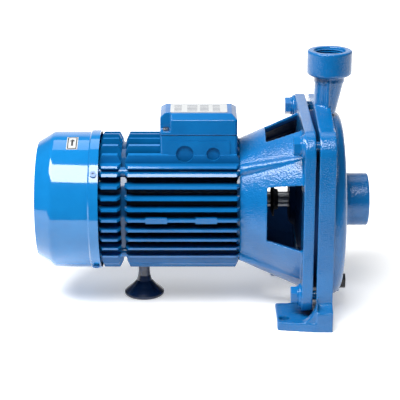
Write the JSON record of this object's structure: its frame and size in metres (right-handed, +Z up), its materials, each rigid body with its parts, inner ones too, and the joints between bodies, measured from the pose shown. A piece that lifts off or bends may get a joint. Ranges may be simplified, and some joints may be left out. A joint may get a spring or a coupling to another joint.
{
  "type": "centrifugal water pump",
  "caption": "Close-coupled centrifugal pump: finned motor, open cast lantern bracket and volute casing with an axial suction port and a top discharge port.",
  "frame": {"origin": "middle of the footprint, on the surface the pump stands on", "axes": "+X along the shaft from the fan cover to the suction port, +Z up along the discharge port"},
  "size_m": [0.3664, 0.224, 0.281],
  "materials": {
    "blue_casting": "glossy paint over sand-cast iron",
    "blue_motor": "glossy paint over die-cast aluminium",
    "blue_cover": "smooth glossy paint over pressed steel",
    "blue_fasteners": "steel painted with the body",
    "painted_cover": "thin dark blue paint over cast iron",
    "steel": "turned steel",
    "bright_steel": "ground steel",
    "brass": "machined brass",
    "copper": "varnished copper wire",
    "aluminium": "cast aluminium",
    "lamination": "stacked steel laminations",
    "rubber": "moulded rubber",
    "black_plastic": "moulded plastic",
    "dark_plastic": "moulded plastic, very dark blue",
    "white_plastic": "moulded plastic",
    "seal_ceramic": "ground ceramic",
    "label": "printed film"
  },
  "bodies": {
    "root": {"casing_bolt_washers": "blue_fasteners", "casing_bolts": "blue_fasteners", "casing_cover": "painted_cover", "casing_seal_ring": "rubber", "drain_plug": "black_plastic", "drain_washer": "rubber", "fan_cover": "blue_cover", "fan_cover_screws": "blue_fasteners", "front_bearing_outer_ring": "bright_steel", "motor_bracket": "blue_casting", "motor_frame": "blue_motor", "nameplate": "label", "preload_washer": "steel", "rear_bearing_outer_ring": "bright_steel", "rear_shield": "blue_motor", "rotation_label": "label", "run_capacitor": "white_plastic", "seal_seat": "seal_ceramic", "stator_core": "lamination", "stator_windings": "copper", "support_foot": "dark_plastic", "support_stud": "steel", "terminal_board": "black_plastic", "terminal_box_gasket": "rubber", "terminal_box_lid": "blue_motor", "terminal_lid_screws": "steel", "terminal_studs": "brass", "tie_rods": "steel", "volute_casing": "blue_casting"},
    "rotor": {"cooling_fan": "black_plastic", "fan_clip": "steel", "front_bearing_balls": "bright_steel", "front_bearing_inner_ring": "bright_steel", "impeller": "brass", "impeller_nut": "bright_steel", "pump_shaft": "steel", "rear_bearing_balls": "bright_steel", "rear_bearing_inner_ring": "bright_steel", "rotor_core": "lamination", "rotor_end_rings": "aluminium", "seal_head": "black_plastic", "seal_spring": "bright_steel", "water_slinger": "rubber"}
  },
  "joints": [
    {"name": "rotor_spin", "type": "hinge", "parent": "root", "child": "rotor", "pos_m": [0, 0, 0.1125], "axis": [1, 0, 0], "continuous": true}
  ]
}
